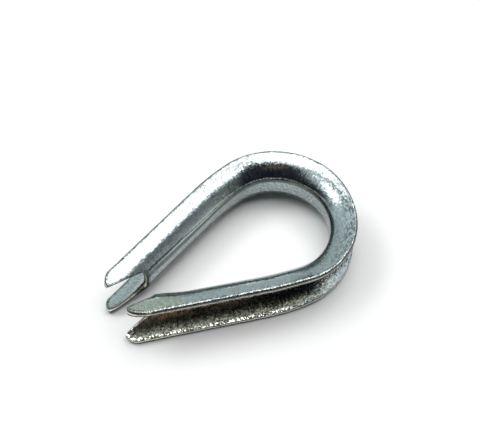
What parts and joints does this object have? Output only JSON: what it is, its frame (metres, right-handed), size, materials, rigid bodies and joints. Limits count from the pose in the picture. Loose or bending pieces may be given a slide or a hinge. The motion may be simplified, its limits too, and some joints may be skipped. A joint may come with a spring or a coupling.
{
  "type": "wire rope thimble",
  "caption": "Small open wire-rope thimble: a plated steel channel bent to a teardrop, with its groove outwards and notched ends that leave the point open.",
  "frame": {"origin": "centre of the round seat inside the eye, at mid-height", "axes": "+Z through the eye, square to the teardrop; +X from the eye towards the round crown, so the open point of the teardrop is at -X"},
  "size_m": [0.0394, 0.0238, 0.0084],
  "materials": {
    "zinc_plated_steel": "satin"
  },
  "bodies": {
    "root": {"thimble_channel": "zinc_plated_steel"}
  },
  "joints": []
}
